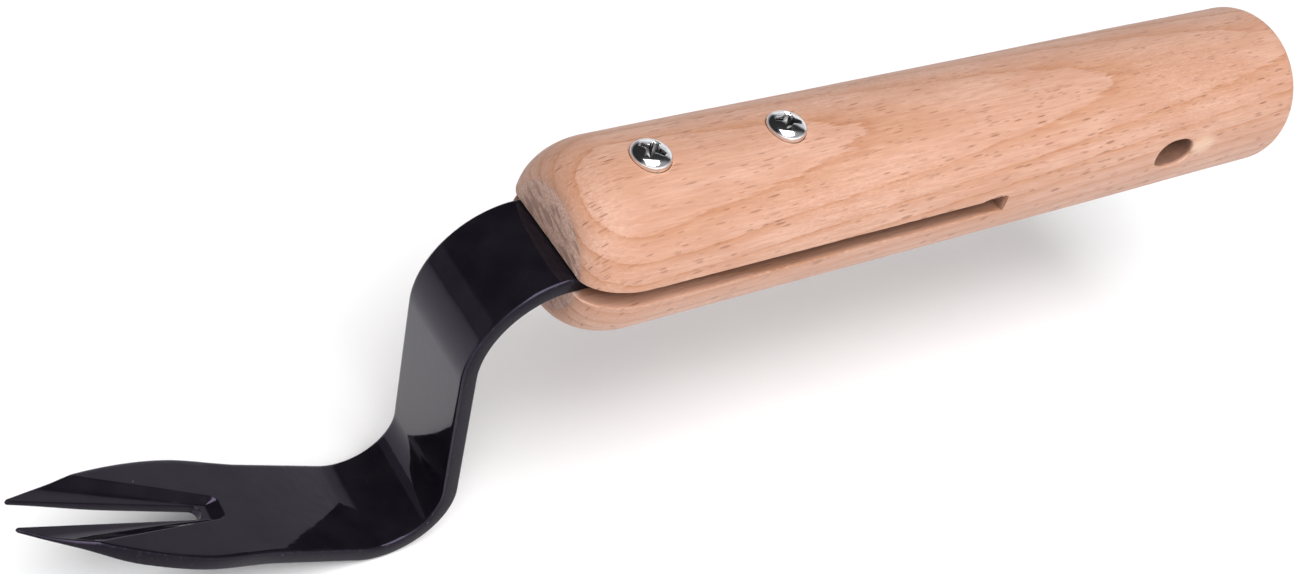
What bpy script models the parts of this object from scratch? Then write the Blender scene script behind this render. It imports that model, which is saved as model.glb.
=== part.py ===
"""Forked hoof pick: a bent flat-bar blade screwed into the slot of a turned wooden handle.

Metres, +Z up.  The origin is the centre of the handle's butt end, on the handle's axis.
The handle lies along X with its nose towards -X, the blade drops down from the nose and
its forked tip points away from the handle.
"""
import math

import bmesh
import bpy
from mathutils import Matrix

# Handle: a turned bar with a flat nose, rounded shoulders and a saw slot along its middle.
HANDLE_LENGTH = 0.1655
HANDLE_RADIUS = 0.016
NOSE_FACE_RADIUS = 0.0098
NOSE_SHOULDER_LENGTH = 0.0105
BUTT_ROUND = 0.003
SLOT_LENGTH = 0.0865
HANG_HOLE_LENGTH = 0.0102
HANG_HOLE_HEIGHT = 0.0062
HANG_HOLE_FROM_BUTT = 0.0350
HANG_HOLE_RISE = 0.0013

# Blade: one length of flat bar, bent down below the nose and forward again.
BAR_WIDTH = 0.0197
BAR_THICKNESS = 0.0028
SLOT_GAP = 0.00025
TANG_LENGTH = 0.057
TOP_BEND_RADIUS = 0.0170
TOP_BEND_ANGLE = math.radians(92.0)
NECK_LENGTH = 0.0277
FOOT_BEND_RADIUS = 0.0094
FOOT_BEND_ANGLE = math.radians(116.1)
PLATE_LENGTH = 0.0583

# Spade outline of the plate, measured along it from the end of the lower bend.
SPADE_START = 0.016
SPADE_WIDEST = 0.0285
SPADE_WIDTH = 0.0213
TIP_WIDTH = 0.0059
TAPER_POWER = 1.7

# Forked tip: a channel with sloping sides, sunk into the top face and split by a V notch.
CHANNEL_START = 0.0236
CHANNEL_HEAD_RUN = 0.0016
CHANNEL_DEPTH = 0.0013
CREST_WIDTH = 0.0051
CREST_SPREAD = 0.187
FOOT_WIDTH = 0.0032
FOOT_SPREAD = 0.112
NOTCH_START = 0.0266
NOTCH_ROOT_RUN = 0.0010
NOTCH_ROOT_WIDTH = 0.0010
NOTCH_BASE_WIDTH = 0.0027
NOTCH_TIP_WIDTH = 0.0050
EDGE_STEP = 0.0001

# The flat underside comes up towards the tip, and most of all under the outer edges.
TIP_UNDERSIDE = 0.00215
TINE_TAPER_START = 0.042
EDGE_UNDERSIDE = 0.0019
GRINDING_START = 0.040
GRINDING_LENGTH = 0.010

# Two self-tapping cross-head screws through the upper jaw and the tang.
SCREW_FROM_NOSE = (0.0152, 0.0418)
SCREW_SIDE = -0.0012
SCREW_SEAT = 0.0151
SCREW_HEAD_RADIUS = 0.0035
SCREW_RIM_HEIGHT = 0.0010
SCREW_HEAD_HEIGHT = 0.0024
SCREW_SHANK_RADIUS = 0.00175
SCREW_LENGTH = 0.025
SCREW_POINT_LENGTH = 0.003
SCREW_GAP = 0.0003
CROSS_SPAN = 0.0040
CROSS_WIDTH = 0.0009
CROSS_DEPTH = 0.0013

NOSE_X = -HANDLE_LENGTH
TURNED_STEPS = 72
SMALL_TURNED_STEPS = 32


def clear_scene():
    for old in list(bpy.data.objects):
        bpy.data.objects.remove(old, do_unlink=True)


def material(name, colour, roughness, metallic):
    made = bpy.data.materials.new(name)
    made.use_nodes = True
    shader = made.node_tree.nodes["Principled BSDF"]
    shader.inputs["Base Color"].default_value = (*colour, 1.0)
    shader.inputs["Roughness"].default_value = roughness
    shader.inputs["Metallic"].default_value = metallic
    return made


def object_from(bm, name):
    bmesh.ops.recalc_face_normals(bm, faces=bm.faces)
    mesh = bpy.data.meshes.new(name)
    bm.to_mesh(mesh)
    bm.free()
    made = bpy.data.objects.new(name, mesh)
    bpy.context.collection.objects.link(made)
    return made


def finish(part, look):
    """Give a part its material and smooth shading with its real corners kept sharp."""
    part.data.materials.append(look)
    part.data.shade_smooth()
    part.data.set_sharp_from_angle(angle=math.radians(35))


def as_cutter(part):
    part.hide_render = True
    part.display_type = "WIRE"
    return part


def cut(part, cutter):
    boolean = part.modifiers.new("cut_" + cutter.name, "BOOLEAN")
    boolean.operation = "DIFFERENCE"
    boolean.object = cutter


def turned(name, profile, steps):
    """Spin (distance along Z, radius) points about the Z axis; both ends lie on the axis."""
    bm = bmesh.new()
    points = [bm.verts.new((radius, 0.0, z)) for z, radius in profile]
    edges = [bm.edges.new(pair) for pair in zip(points, points[1:])]
    bmesh.ops.spin(bm, geom=points + edges, cent=(0, 0, 0), axis=(0, 0, 1),
                   angle=2 * math.pi, steps=steps, use_merge=True)
    bmesh.ops.remove_doubles(bm, verts=bm.verts, dist=1e-6)
    return object_from(bm, name)


def box(name, low, high):
    bm = bmesh.new()
    bmesh.ops.create_cube(bm, size=1.0)
    size = [b - a for a, b in zip(low, high)]
    centre = [(a + b) / 2 for a, b in zip(low, high)]
    bmesh.ops.transform(bm, verts=bm.verts, matrix=Matrix.Translation(centre) @ Matrix.Diagonal((*size, 1.0)))
    return object_from(bm, name)


def oblong_hole(name, centre, length, height, reach):
    """A hole along Y with round ends, `length` along X and `height` along Z."""
    radius = height / 2
    bm = bmesh.new()
    outline = []
    for end, first in ((1, -math.pi / 2), (-1, math.pi / 2)):
        middle = centre[0] + end * (length / 2 - radius)
        for step in range(13):
            angle = first + math.pi * step / 12
            outline.append(bm.verts.new((middle + radius * math.cos(angle), -reach,
                                         centre[2] + radius * math.sin(angle))))
    face = bm.faces.new(outline)
    pushed = bmesh.ops.extrude_face_region(bm, geom=[face])["geom"]
    far_side = [item for item in pushed if isinstance(item, bmesh.types.BMVert)]
    bmesh.ops.translate(bm, verts=far_side, vec=(0.0, 2 * reach, 0.0))
    return object_from(bm, name)


def quarter_round(start, along, out, steps):
    """Quarter-ellipse points from `start`: `along` the axis and `out` in radius."""
    angles = [math.pi / 2 * i / steps for i in range(steps + 1)]
    return [(start[0] + along * (1 - math.cos(a)), start[1] + out * math.sin(a)) for a in angles]


def screw_x(index):
    return NOSE_X + SCREW_FROM_NOSE[index]


def screw_bore(index):
    """Seat, clearance and pilot hole of one screw, as one cutter along Z."""
    head = SCREW_HEAD_RADIUS + SCREW_GAP
    shank = SCREW_SHANK_RADIUS + SCREW_GAP
    bottom = SCREW_SEAT - SCREW_LENGTH - SCREW_GAP
    seat = SCREW_SEAT - SCREW_GAP
    top = HANDLE_RADIUS + SCREW_HEAD_HEIGHT
    profile = [(top, 0.0), (top, head), (seat, head), (seat, shank), (bottom, shank), (bottom, 0.0)]
    bore = turned(f"bore_{index}", profile, SMALL_TURNED_STEPS)
    bore.location = (screw_x(index), SCREW_SIDE, 0.0)
    return as_cutter(bore)


def make_handle(bores):
    nose = quarter_round((-HANDLE_LENGTH, NOSE_FACE_RADIUS), NOSE_SHOULDER_LENGTH,
                         HANDLE_RADIUS - NOSE_FACE_RADIUS, 8)
    butt = quarter_round((0.0, HANDLE_RADIUS - BUTT_ROUND), -BUTT_ROUND, BUTT_ROUND, 4)
    profile = [(-HANDLE_LENGTH, 0.0), *nose, *reversed(butt), (0.0, 0.0)]
    handle = turned("handle", profile, TURNED_STEPS)
    handle.rotation_euler = (0.0, math.pi / 2, 0.0)

    slot_half = BAR_THICKNESS / 2 + SLOT_GAP
    wide = 2 * HANDLE_RADIUS
    slot = box("slot", (2 * NOSE_X, -wide, -slot_half), (NOSE_X + SLOT_LENGTH, wide, slot_half))

    hole_centre = (-HANG_HOLE_FROM_BUTT, 0.0, HANG_HOLE_RISE)
    hole = oblong_hole("hang_hole", hole_centre, HANG_HOLE_LENGTH, HANG_HOLE_HEIGHT, wide)

    for cutter in (as_cutter(slot), as_cutter(hole), *bores):
        cut(handle, cutter)
    finish(handle, material("beech", (0.66, 0.40, 0.26), 0.62, 0.0))
    return handle


def bar_line():
    """Stations along the bar's top face: x, z, downward angle, distance along the plate."""
    def heading(angle):
        return -math.cos(angle), -math.sin(angle)

    def face_up(angle):
        return -math.sin(angle), math.cos(angle)

    x, z, angle = NOSE_X + TANG_LENGTH, BAR_THICKNESS / 2, 0.0
    stations = [(x, z, angle, None)]
    x = NOSE_X
    stations.append((x, z, angle, None))
    for turn, radius, steps, straight in ((TOP_BEND_ANGLE, TOP_BEND_RADIUS, 14, NECK_LENGTH),
                                          (-FOOT_BEND_ANGLE, -FOOT_BEND_RADIUS, 14, None)):
        up = face_up(angle)
        centre = (x - up[0] * radius, z - up[1] * radius)
        for step in range(1, steps + 1):
            now = face_up(angle + turn * step / steps)
            stations.append((centre[0] + now[0] * radius, centre[1] + now[1] * radius,
                             angle + turn * step / steps, None))
        angle += turn
        x, z = stations[-1][0], stations[-1][1]
        if straight:
            ahead = heading(angle)
            x, z = x + ahead[0] * straight, z + ahead[1] * straight
            stations.append((x, z, angle, None))
    ahead = heading(angle)
    for along in plate_marks():
        stations.append((x + ahead[0] * along, z + ahead[1] * along, angle, along))
    return stations


def plate_marks():
    """Distances along the plate where its outline or its channel changes."""
    spade = [SPADE_START + (SPADE_WIDEST - SPADE_START) * i / 5 for i in range(4)]
    channel = [CHANNEL_START, CHANNEL_START + CHANNEL_HEAD_RUN, NOTCH_START, NOTCH_START + NOTCH_ROOT_RUN]
    taper = [SPADE_WIDEST + (PLATE_LENGTH - SPADE_WIDEST) * i / 12 for i in range(13)]
    return [*spade, *channel, *taper]


def smooth(t):
    t = min(max(t, 0.0), 1.0)
    return t * t * (3 - 2 * t)


def half_width(along):
    """Half the width of the bar or, on the plate, of the spade outline."""
    if along is None or along < SPADE_START:
        return BAR_WIDTH / 2
    if along < SPADE_WIDEST:
        swell = smooth((along - SPADE_START) / (SPADE_WIDEST - SPADE_START))
        return (BAR_WIDTH + (SPADE_WIDTH - BAR_WIDTH) * swell) / 2
    taper = (along - SPADE_WIDEST) / (PLATE_LENGTH - SPADE_WIDEST)
    return (TIP_WIDTH + (SPADE_WIDTH - TIP_WIDTH) * (1 - taper ** TAPER_POWER)) / 2


def crest_half_width(along):
    """Half the width across the channel's top edges; they run off the plate near the tip."""
    return CREST_WIDTH / 2 + CREST_SPREAD * (along - CHANNEL_START - CHANNEL_HEAD_RUN)


def foot_half_width(along):
    """Half the width of the channel's floor."""
    return FOOT_WIDTH / 2 + FOOT_SPREAD * (along - CHANNEL_START - CHANNEL_HEAD_RUN)


def notch_half_width(along):
    if along <= NOTCH_START:
        return NOTCH_ROOT_WIDTH / 2
    run = (along - NOTCH_START) / (PLATE_LENGTH - NOTCH_START)
    return (NOTCH_BASE_WIDTH + (NOTCH_TIP_WIDTH - NOTCH_BASE_WIDTH) * run) / 2


def sunk(along, side):
    """How far the top of the plate lies below the bar's own top face."""
    if along is None or along <= CHANNEL_START:
        return 0.0
    crest, foot = crest_half_width(along), foot_half_width(along)
    return CHANNEL_DEPTH * min(max((crest - side) / (crest - foot), 0.0), 1.0)


def underside(along, side):
    """Depth of the underside below the bar's own top face."""
    if along is None or along <= GRINDING_START:
        return BAR_THICKNESS
    tapered = smooth((along - TINE_TAPER_START) / (PLATE_LENGTH - TINE_TAPER_START))
    ground = smooth((along - GRINDING_START) / GRINDING_LENGTH)
    inner = BAR_THICKNESS - (BAR_THICKNESS - TIP_UNDERSIDE) * tapered
    outer = BAR_THICKNESS - (BAR_THICKNESS - EDGE_UNDERSIDE) * ground
    edge, notch = half_width(along), notch_half_width(along)
    return inner + (outer - inner) * (side - notch) / (edge - notch)


def columns(along):
    """Places across one half of the plate, from the outer edge to the notch."""
    edge = half_width(along)
    crest = min(crest_half_width(along), edge - EDGE_STEP)
    foot = min(foot_half_width(along), edge - 2 * EDGE_STEP)
    return [edge, crest, foot, notch_half_width(along)]


def make_blade(bores):
    bm = bmesh.new()
    rows = []
    for x, z, angle, along in bar_line():
        forked = along is not None and along >= CHANNEL_START
        sides = columns(along) if forked else [half_width(along)]
        across = [-side for side in sides] + sides[::-1]
        up = (-math.sin(angle), math.cos(angle))
        row = []
        for under in (False, True):
            line = []
            for side in across:
                deep = (underside if under else sunk)(along, abs(side))
                line.append(bm.verts.new((x - up[0] * deep, side, z - up[1] * deep)))
            row.append(line)
        rows.append((row, forked and along >= NOTCH_START))

    for (before, was_split), (after, _) in zip(rows, rows[1:]):
        for line_before, line_after in zip(before, after):
            if len(line_before) != len(line_after):
                bm.faces.new(line_before + line_after[::-1])
                continue
            middle = len(line_before) // 2 - 1
            for i in range(len(line_before) - 1):
                if was_split and i == middle:
                    continue
                bm.faces.new((line_before[i], line_before[i + 1], line_after[i + 1], line_after[i]))
        walls = [0, -1]
        if was_split:
            walls += [len(before[0]) // 2 - 1, len(before[0]) // 2]
        for i in walls:
            bm.faces.new((before[0][i], after[0][i], after[1][i], before[1][i]))

    tang, tip = rows[0][0], rows[-1][0]
    root = next(row for row, split in rows if split)
    half = len(tip[0]) // 2
    bm.faces.new(tang[0] + tang[1][::-1])
    bm.faces.new(tip[0][:half] + tip[1][:half][::-1])
    bm.faces.new(tip[0][half:] + tip[1][half:][::-1])
    bm.faces.new((root[0][half - 1], root[0][half], root[1][half], root[1][half - 1]))

    blade = object_from(bm, "blade")
    for bore in bores:
        cut(blade, bore)
    finish(blade, material("black_coat", (0.018, 0.017, 0.021), 0.22, 0.0))
    return blade


def make_screw(name, index):
    """Pan head with a cross recess, shank and point, standing on its seat."""
    dome = quarter_round((SCREW_HEAD_HEIGHT, 0.0), SCREW_RIM_HEIGHT - SCREW_HEAD_HEIGHT,
                         SCREW_HEAD_RADIUS, 6)
    tip = -SCREW_LENGTH
    profile = [*dome, (0.0, SCREW_HEAD_RADIUS), (0.0, SCREW_SHANK_RADIUS),
               (tip + SCREW_POINT_LENGTH, SCREW_SHANK_RADIUS), (tip, 0.0)]
    screw = turned(name, profile, SMALL_TURNED_STEPS)
    screw.location = (screw_x(index), SCREW_SIDE, SCREW_SEAT)

    top = SCREW_SEAT + SCREW_HEAD_HEIGHT
    spans = ((CROSS_SPAN, CROSS_WIDTH), (CROSS_WIDTH, CROSS_SPAN))
    for slot, (length, width) in enumerate(spans):
        low = (screw_x(index) - length / 2, SCREW_SIDE - width / 2, top - CROSS_DEPTH)
        high = (screw_x(index) + length / 2, SCREW_SIDE + width / 2, top + CROSS_DEPTH)
        cut(screw, as_cutter(box(f"{name}_cross_{slot}", low, high)))
    finish(screw, bpy.data.materials["nickel"])
    return screw


def main():
    clear_scene()
    material("nickel", (0.72, 0.72, 0.74), 0.18, 1.0)
    bores = [screw_bore(index) for index in range(len(SCREW_FROM_NOSE))]
    make_handle(bores)
    make_blade(bores)
    for index, name in enumerate(("front_screw", "rear_screw")):
        make_screw(name, index)


main()
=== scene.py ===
import math

import bmesh
import bpy
import numpy as np
from mathutils import Matrix, Vector, noise


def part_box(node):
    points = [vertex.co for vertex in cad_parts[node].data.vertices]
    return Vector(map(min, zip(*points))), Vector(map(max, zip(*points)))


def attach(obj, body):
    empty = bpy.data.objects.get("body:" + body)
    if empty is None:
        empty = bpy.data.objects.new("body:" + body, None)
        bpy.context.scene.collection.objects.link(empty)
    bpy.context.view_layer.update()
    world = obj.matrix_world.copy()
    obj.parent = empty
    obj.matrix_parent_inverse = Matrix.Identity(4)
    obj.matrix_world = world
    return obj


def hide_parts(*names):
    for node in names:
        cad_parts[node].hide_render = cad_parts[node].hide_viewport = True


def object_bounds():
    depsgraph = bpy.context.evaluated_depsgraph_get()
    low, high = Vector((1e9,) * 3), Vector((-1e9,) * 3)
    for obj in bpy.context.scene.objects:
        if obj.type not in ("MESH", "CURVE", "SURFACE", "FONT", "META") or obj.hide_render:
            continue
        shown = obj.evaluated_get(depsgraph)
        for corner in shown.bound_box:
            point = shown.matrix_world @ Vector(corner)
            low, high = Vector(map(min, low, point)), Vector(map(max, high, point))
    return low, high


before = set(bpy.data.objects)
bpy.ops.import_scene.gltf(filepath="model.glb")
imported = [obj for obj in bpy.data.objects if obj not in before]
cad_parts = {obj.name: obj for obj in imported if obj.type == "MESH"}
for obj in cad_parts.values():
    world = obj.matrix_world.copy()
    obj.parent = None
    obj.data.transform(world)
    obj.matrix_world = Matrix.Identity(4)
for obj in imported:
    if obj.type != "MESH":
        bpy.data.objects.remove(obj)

CAD_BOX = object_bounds()

# ---------------------------------------------------------------- places taken from the frame
HANDLE_LOW, HANDLE_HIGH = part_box("handle")
NOSE_X = HANDLE_LOW.x
HANDLE_RADIUS = HANDLE_HIGH.z
SCREW_BOXES = {name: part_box(name) for name in ("front_screw", "rear_screw")}

# Handle sizes, as in the part.
NOSE_FACE_RADIUS = 0.0098
NOSE_SHOULDER = 0.0105
TURNING_WAVE = 0.00009
BUTT_ROUND = 0.003
SLOT_END_X = NOSE_X + 0.0865
SLOT_HALF = 0.00165
HOLE_X, HOLE_Z = -0.0350, 0.0013
HOLE_LENGTH, HOLE_HEIGHT = 0.0102, 0.0062
TEAR_LENGTH, TEAR_DEPTH = 0.0062, 0.00085

# Blade sizes, as in the part.
BAR_WIDTH = 0.0197
BAR_THICKNESS = 0.0028
TANG_LENGTH = 0.057
TOP_BEND = (math.radians(92.0), 0.0170)
NECK_LENGTH = 0.0277
FOOT_BEND = (math.radians(-116.1), -0.0094)
PLATE_LENGTH = 0.0583
SPADE_START, SPADE_WIDEST = 0.016, 0.0285
SPADE_WIDTH, TIP_WIDTH, TAPER_POWER = 0.0213, 0.0059, 1.7
CHANNEL_START, CHANNEL_HEAD_RUN, CHANNEL_DEPTH = 0.0236, 0.0016, 0.0013
CREST_WIDTH, CREST_SPREAD = 0.0051, 0.187
FOOT_WIDTH, FOOT_SPREAD = 0.0032, 0.112
NOTCH_START, NOTCH_ROOT_RADIUS = 0.0266, 0.0013
NOTCH_BASE_WIDTH, NOTCH_TIP_WIDTH = 0.0027, 0.0050
TIP_UNDERSIDE, TINE_TAPER_START = 0.00215, 0.042
EDGE_UNDERSIDE, GRINDING_START, GRINDING_LENGTH = 0.0019, 0.040, 0.010
CREST_SOFTNESS, FOOT_SOFTNESS = 0.00010, 0.00042
TOP_ROUND, UNDER_ROUND, NOTCH_ROUND = 0.00060, 0.00035, 0.00016
TINE_END = 0.0006
TANG_HOLE_RADIUS, TANG_HOLE_REACH = 0.00205, 0.003

# Screw sizes, as in the part.
HEAD_RADIUS, HEAD_HEIGHT, RIM_HEIGHT = 0.0035, 0.0024, 0.0010
SHANK_RADIUS, SCREW_LENGTH, POINT_LENGTH = 0.00175, 0.025, 0.003
SEAT_GAP, BORE_GAP = 0.0003, 0.00008
THREAD_PITCH, THREAD_STEPS = 0.0013, 28


# ---------------------------------------------------------------- small helpers
def smooth(t):
    t = min(max(t, 0.0), 1.0)
    return t * t * (3 - 2 * t)


def soft_floor(value, least, blend):
    """max(value, least) with a rounded corner."""
    d = value - least
    if d > blend:
        return value
    if d < -blend:
        return least
    return least + (d + blend) ** 2 / (4 * blend)


def soft_ceiling(value, most, blend):
    return -soft_floor(-value, -most, blend)


def wobble(*point):
    """Smooth fixed noise from about -1 to 1."""
    return noise.noise(Vector(point))


def object_from(bm, name, angle=40):
    bmesh.ops.recalc_face_normals(bm, faces=bm.faces)
    mesh = bpy.data.meshes.new(name)
    bm.to_mesh(mesh)
    bm.free()
    made = bpy.data.objects.new(name, mesh)
    bpy.context.scene.collection.objects.link(made)
    mesh.shade_smooth()
    mesh.set_sharp_from_angle(angle=math.radians(angle))
    return made


def lathe(name, profile, steps, warp=None):
    """Spin (distance along Z, radius) points about Z; the first and last lie on the axis."""
    bm = bmesh.new()
    rings = []
    for z, radius in profile:
        if radius <= 0.0:
            rings.append([bm.verts.new((0.0, 0.0, z))])
            continue
        ring = []
        for k in range(steps):
            angle = 2 * math.pi * k / steps
            r = radius if warp is None else radius + warp(z, angle, radius)
            ring.append(bm.verts.new((r * math.cos(angle), r * math.sin(angle), z)))
        rings.append(ring)
    for a, b in zip(rings, rings[1:]):
        for k in range(steps):
            n = (k + 1) % steps
            if len(a) == 1:
                bm.faces.new((a[0], b[k], b[n]))
            elif len(b) == 1:
                bm.faces.new((a[k], a[n], b[0]))
            else:
                bm.faces.new((a[k], a[n], b[n], b[k]))
    return object_from(bm, name)


def subtract(target, cutters):
    """Cut each cutter out of the target for good, and drop the cutters."""
    for cutter in cutters:
        step = target.modifiers.new("cut", "BOOLEAN")
        step.operation, step.object, step.solver = "DIFFERENCE", cutter, "EXACT"
        bpy.context.view_layer.update()
        depsgraph = bpy.context.evaluated_depsgraph_get()
        mesh = bpy.data.meshes.new_from_object(target.evaluated_get(depsgraph))
        target.modifiers.clear()
        old, target.data = target.data, mesh
        mesh.name = old.name
        bpy.data.meshes.remove(old)
    for cutter in cutters:
        bpy.data.objects.remove(cutter)


def tidy(obj, angle=40, merge=2e-6):
    """Merge doubled points and give smooth shading with the real corners kept."""
    bm = bmesh.new()
    bm.from_mesh(obj.data)
    bmesh.ops.remove_doubles(bm, verts=bm.verts, dist=merge)
    bmesh.ops.dissolve_degenerate(bm, edges=bm.edges, dist=1e-6)
    bmesh.ops.recalc_face_normals(bm, faces=bm.faces)
    bm.to_mesh(obj.data)
    bm.free()
    obj.data.shade_smooth()
    obj.data.set_sharp_from_angle(angle=math.radians(angle))


# ---------------------------------------------------------------- handle
def handle_radius(x):
    """Radius of the turned handle at x, without its small waviness."""
    inward = x - NOSE_X
    if inward < NOSE_SHOULDER:
        t = 1 - max(inward, 0.0) / NOSE_SHOULDER
        return NOSE_FACE_RADIUS + (HANDLE_RADIUS - NOSE_FACE_RADIUS) * math.sqrt(max(1 - t * t, 0))
    if x > -BUTT_ROUND:
        t = (x + BUTT_ROUND) / BUTT_ROUND
        return HANDLE_RADIUS - BUTT_ROUND + BUTT_ROUND * math.sqrt(max(1 - t * t, 0))
    return HANDLE_RADIUS


def lip(depth, size=0.00028):
    """How much a saw cut opens out where it breaks through the surface."""
    if depth >= size:
        return 0.0
    if depth <= 0:
        return size * 0.8 - depth * 1.2
    return 0.8 * (size - math.sqrt(size * size - (size - depth) ** 2))


def closed_grid(bm, rows):
    """Quads between equal rows of points; gives back the rows as vertices."""
    made = [[bm.verts.new(p) for p in row] for row in rows]
    for a, b in zip(made, made[1:]):
        for i in range(len(a) - 1):
            bm.faces.new((a[i], a[i + 1], b[i + 1], b[i]))
    return made


def slot_cutter():
    """The saw slot with softened, slightly ragged lips and a torn near upper lip at its end."""
    xs = [NOSE_X - 0.004, NOSE_X - 0.0006, NOSE_X - 0.0001, NOSE_X + 0.00008, NOSE_X + 0.00018,
          NOSE_X + 0.0003, NOSE_X + 0.0007]
    xs += list(np.linspace(NOSE_X + 0.0015, SLOT_END_X - 0.0080, 56))
    xs += list(np.linspace(SLOT_END_X - 0.0075, SLOT_END_X, 22))
    depths = [-0.003, -0.0006, -0.0002, 0.0, 0.00008, 0.00018, 0.00032, 0.0007, 0.0013, 0.0024]
    top, bottom = [], []
    for x in xs:
        skin = math.sqrt(max(handle_radius(x) ** 2 - SLOT_HALF ** 2, 1e-8))
        ys = [-(skin - d) for d in depths] + [0.0] + [skin - d for d in reversed(depths)]
        line_top, line_bottom = [], []
        for y in ys:
            depth = min(skin - abs(y), x - NOSE_X)
            opened = lip(depth)
            ragged = 0.00005 * wobble(x * 900, y * 350, 0.4)
            ragged += 0.00005 * wobble(x * 3100, y * 800, 2.7)
            frayed = 0.00009 * max(wobble(x * 1500, y * 60, 7.7), 0) * smooth(1 - depth / 0.0008)
            from_end = SLOT_END_X - x
            torn = 0.0
            if y < 0 and from_end < TEAR_LENGTH:
                bite = smooth((TEAR_LENGTH - from_end) / 0.0012)
                bite *= 0.42 + 0.30 * wobble(x * 1700, 3.1, 8.8) - 0.25 * smooth(1 - from_end / 0.0009)
                torn = TEAR_DEPTH * max(bite, 0) * smooth(1.15 - (skin - abs(y)) / 0.0021)
            line_top.append((x, y, SLOT_HALF + opened + ragged + frayed + torn))
            line_bottom.append((x, y, -SLOT_HALF - opened * 0.8 + ragged * 0.6))
        top.append(line_top)
        bottom.append(line_bottom)
    # the saw's round edge leaves the closed end slightly hollow
    for line in (top[-1], bottom[-1]):
        for i, (x, y, z) in enumerate(line):
            line[i] = (x + 0.00012 * wobble(y * 900, z * 900, 1.0), y, z)
    bm = bmesh.new()
    a, b = closed_grid(bm, top), closed_grid(bm, bottom)
    for i in range(len(a) - 1):
        bm.faces.new((a[i][0], a[i + 1][0], b[i + 1][0], b[i][0]))
        bm.faces.new((a[i][-1], a[i + 1][-1], b[i + 1][-1], b[i][-1]))
    for i in range(len(a[0]) - 1):
        bm.faces.new((a[0][i], a[0][i + 1], b[0][i + 1], b[0][i]))
        bm.faces.new((a[-1][i], a[-1][i + 1], b[-1][i + 1], b[-1][i]))
    return object_from(bm, "slot_cutter")


def hole_cutter():
    """Oblong hanging hole: two drillings side by side, with a ridge left between them inside."""
    radius = HOLE_HEIGHT / 2
    reach = HOLE_LENGTH / 2 - radius
    count = 56
    outline = []
    for k in range(count):
        angle = 2 * math.pi * (k + 0.5) / count
        dx, dz = math.cos(angle), math.sin(angle)
        # an oval between a stadium and an ellipse
        x = math.copysign(abs(dx) ** 0.86, dx) * (radius + reach)
        z = math.copysign(abs(dz) ** 0.92, dz) * radius
        outline.append((x, z))
    depths = (-0.003, -0.0007, -0.00025, 0.0, 0.0001, 0.00022, 0.0004, 0.0010, 0.0022, 0.0045, 0.0090)
    bm = bmesh.new()
    rings = []
    for side in (-1, 1):
        for depth in depths if side < 0 else reversed(depths):
            ring = []
            for x, z in outline:
                skin = math.sqrt(HANDLE_RADIUS ** 2 - (HOLE_Z + z) ** 2)
                grow = 1 + lip(depth, 0.0004) / radius
                ridge = 1 - 0.13 * smooth(depth / 0.0015) * math.exp(-(x / 0.0006) ** 2)
                rough = 1 + 0.012 * wobble(x * 1500, z * 1500, depth * 500 + side)
                ring.append(bm.verts.new((HOLE_X + x * grow * rough, side * (skin - depth),
                                          HOLE_Z + z * grow * rough * ridge)))
            rings.append(ring)
    for a, b in zip(rings, rings[1:]):
        for k in range(count):
            n = (k + 1) % count
            bm.faces.new((a[k], a[n], b[n], b[k]))
    bm.faces.new(rings[0])
    bm.faces.new(rings[-1])
    return object_from(bm, "hole_cutter")


def screw_place(name):
    low, high = SCREW_BOXES[name]
    return (low.x + high.x) / 2, (low.y + high.y) / 2, high.z - HEAD_HEIGHT


def seat_cutter(name):
    x, y, seat = screw_place(name)
    head, shank = HEAD_RADIUS + BORE_GAP, SHANK_RADIUS + BORE_GAP
    above, below = seat + 0.004, seat - SEAT_GAP
    end = seat - SCREW_LENGTH - SEAT_GAP
    profile = [(above, 0.0), (above, head), (below, head), (below, shank), (end, shank), (end, 0.0)]
    cutter = lathe("seat_" + name, profile, 48)
    cutter.data.transform(Matrix.Translation((x, y, 0.0)))
    return cutter


def build_handle():
    xs = [NOSE_X + NOSE_SHOULDER * (1 - math.cos(math.pi / 2 * i / 18)) for i in range(1, 19)]
    xs += list(np.linspace(NOSE_X + 0.0135, -BUTT_ROUND - 0.002, 56))
    xs += [-BUTT_ROUND + BUTT_ROUND * math.sin(math.pi / 2 * i / 8) for i in range(0, 9)]
    face = NOSE_FACE_RADIUS
    profile = [(NOSE_X, 0.0)]
    profile += [(NOSE_X, face * k / 5) for k in range(1, 5)]
    profile += [(NOSE_X, face - 0.00025), (NOSE_X + 0.00006, face - 0.00008)]
    profile += [(x, handle_radius(x)) for x in xs]
    profile += [(0.0, (HANDLE_RADIUS - BUTT_ROUND) * k / 3) for k in (2, 1)]
    profile += [(0.0, 0.0)]

    def waviness(x, angle, radius):
        if radius < NOSE_FACE_RADIUS:
            return 0.0
        fade = smooth((x - NOSE_X) / 0.004) * smooth(-x / 0.004)
        # the waves only take wood away, so the handle stays inside its turned size
        slow = TURNING_WAVE * (wobble(x * 28, math.cos(angle) * 0.9, math.sin(angle) * 0.9) - 0.8)
        return fade * slow

    handle = lathe("beech_handle", profile, 160, warp=waviness)
    # the profile ran along Z: lay it along X
    handle.data.transform(Matrix.Rotation(math.pi / 2, 4, "Y"))
    subtract(handle, [slot_cutter(), hole_cutter(), seat_cutter("front_screw"), seat_cutter("rear_screw")])
    tidy(handle, 32)
    return handle


# ---------------------------------------------------------------- blade
def heading(angle):
    return -math.cos(angle), -math.sin(angle)


def facing(angle):
    return -math.sin(angle), math.cos(angle)


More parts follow.
